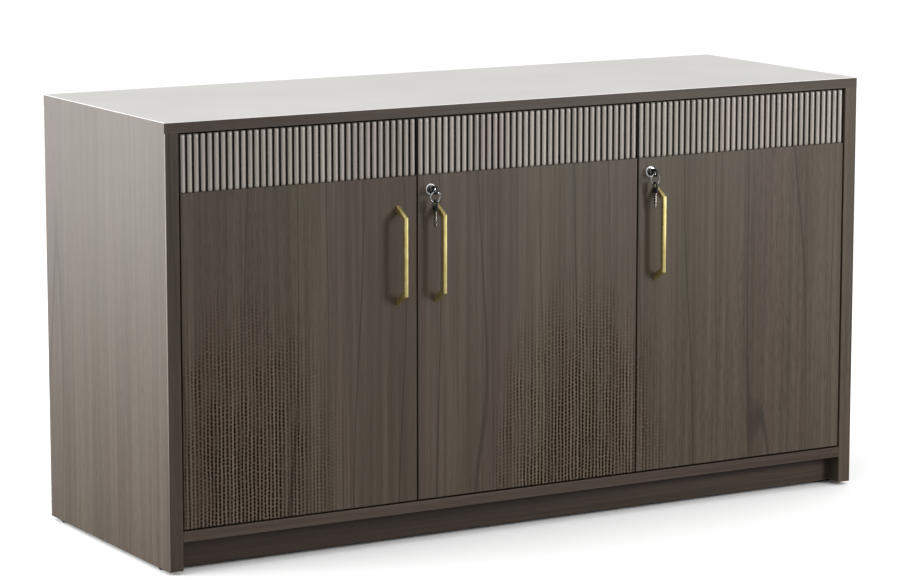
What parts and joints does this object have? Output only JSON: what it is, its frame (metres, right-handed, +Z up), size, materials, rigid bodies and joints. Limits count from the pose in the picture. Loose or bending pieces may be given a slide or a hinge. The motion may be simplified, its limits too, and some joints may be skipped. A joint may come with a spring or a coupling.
{
  "type": "low storage cabinet",
  "caption": "Low office storage cabinet on glides, with inset hinged doors under reeded bands, bar handles, key locks and a recessed plinth.",
  "frame": {"origin": "on the floor, below the middle of the box that holds the cabinet and its handles", "axes": "+X to the right seen from the front, +Y to the back, +Z up"},
  "size_m": [1.38, 0.509, 0.75],
  "materials": {
    "dark_wood_laminate": "dark brown wood-grain laminate, satin",
    "pale_laminate": "pale warm-grey laminate, satin",
    "reeded_laminate": "taupe-grey reeded strip, satin",
    "plinth_laminate": "dark brown laminate, matt",
    "back_board": "thin dark-faced board, matt",
    "beech": "plain beech",
    "satin_brass": "satin pale brass",
    "chrome": "bright chrome plate",
    "key_steel": "nickel-plated steel",
    "plated_steel": "zinc- or nickel-plated steel",
    "black_plastic": "black moulded plastic"
  },
  "bodies": {
    "carcass": {"left_side_panel": "dark_wood_laminate", "right_side_panel": "dark_wood_laminate", "top_panel": "dark_wood_laminate", "top_laminate": "pale_laminate", "bottom_panel": "dark_wood_laminate", "partition": "dark_wood_laminate", "back_panel": "back_board", "plinth_front": "plinth_laminate", "plinth_rear": "plinth_laminate", "shelf_left": "dark_wood_laminate", "shelf_right": "dark_wood_laminate", "shelf_pins": "plated_steel", "glide_feet": "black_plastic", "cam_discs": "plated_steel", "cam_bolts": "plated_steel", "dowels": "beech", "hinge_plates": "plated_steel", "hinge_arms": "plated_steel", "board_screws": "plated_steel", "strike_plate": "plated_steel"},
    "left_door": {"left_door_panel": "dark_wood_laminate", "left_door_flutes": "reeded_laminate", "left_door_handle": "satin_brass", "left_door_hinge_cups": "plated_steel", "left_door_hinge_pins": "plated_steel", "left_door_screws": "plated_steel", "left_door_bolt_guide": "plated_steel"},
    "left_bolt": {"left_door_bolt_rod": "plated_steel"},
    "middle_door": {"middle_door_panel": "dark_wood_laminate", "middle_door_flutes": "reeded_laminate", "middle_door_handle": "satin_brass", "middle_door_hinge_cups": "plated_steel", "middle_door_hinge_pins": "plated_steel", "middle_door_screws": "plated_steel", "middle_lock_barrel": "chrome", "middle_lock_case": "plated_steel"},
    "middle_plug": {"middle_lock_plug": "chrome", "middle_key_blade": "key_steel", "middle_key_head": "black_plastic"},
    "middle_bolt": {"middle_lock_bolt": "plated_steel"},
    "middle_spare_key": {"middle_key_ring": "chrome", "middle_spare_head": "black_plastic", "middle_spare_blade": "key_steel"},
    "right_door": {"right_door_panel": "dark_wood_laminate", "right_door_flutes": "reeded_laminate", "right_door_handle": "satin_brass", "right_door_hinge_cups": "plated_steel", "right_door_hinge_pins": "plated_steel", "right_door_screws": "plated_steel", "right_lock_barrel": "chrome", "right_lock_case": "plated_steel"},
    "right_plug": {"right_lock_plug": "chrome", "right_key_blade": "key_steel", "right_key_head": "black_plastic"},
    "right_bolt": {"right_lock_bolt": "plated_steel"},
    "right_spare_key": {"right_key_ring": "chrome", "right_spare_head": "black_plastic", "right_spare_blade": "key_steel"}
  },
  "joints": [
    {"name": "left_door_hinge", "type": "hinge", "parent": "carcass", "child": "left_door", "pos_m": [-0.647, -0.216, 0.4], "axis": [0, 0, -1], "range_deg": [0, 95]},
    {"name": "middle_door_hinge", "type": "hinge", "parent": "carcass", "child": "middle_door", "pos_m": [0.20467, -0.216, 0.4], "axis": [0, 0, 1], "range_deg": [0, 95]},
    {"name": "right_door_hinge", "type": "hinge", "parent": "carcass", "child": "right_door", "pos_m": [0.647, -0.216, 0.4], "axis": [0, 0, 1], "range_deg": [0, 95]},
    {"name": "left_bolt_slide", "type": "slide", "parent": "left_door", "child": "left_bolt", "axis": [0, 0, 1], "range_m": [0, 0.012]},
    {"name": "middle_key_turn", "type": "hinge", "parent": "middle_door", "child": "middle_plug", "pos_m": [-0.19567, -0.2245, 0.608], "axis": [0, 1, 0], "range_deg": [0, 90]},
    {"name": "middle_bolt_throw", "type": "slide", "parent": "middle_door", "child": "middle_bolt", "axis": [-1, 0, 0], "range_m": [0, 0.0101]},
    {"name": "middle_spare_swing", "type": "hinge", "parent": "middle_plug", "child": "middle_spare_key", "pos_m": [-0.19567, -0.2415, 0.6025], "axis": [0, 1, 0], "range_deg": [-90.5, 0.5]},
    {"name": "right_key_turn", "type": "hinge", "parent": "right_door", "child": "right_plug", "pos_m": [0.24667, -0.2245, 0.608], "axis": [0, 1, 0], "range_deg": [0, 90]},
    {"name": "right_bolt_throw", "type": "slide", "parent": "right_door", "child": "right_bolt", "axis": [-1, 0, 0], "range_m": [0, 0.0101]},
    {"name": "right_spare_swing", "type": "hinge", "parent": "right_plug", "child": "right_spare_key", "pos_m": [0.24667, -0.2415, 0.6025], "axis": [0, 1, 0], "range_deg": [-90.5, 0.5]}
  ],
  "couplings": [
    {"joint": "middle_bolt_throw", "follows": "middle_key_turn", "m_per_rad": 0.0063662},
    {"joint": "middle_spare_swing", "follows": "middle_key_turn", "ratio": -1},
    {"joint": "right_bolt_throw", "follows": "right_key_turn", "m_per_rad": 0.0063662},
    {"joint": "right_spare_swing", "follows": "right_key_turn", "ratio": -1}
  ]
}
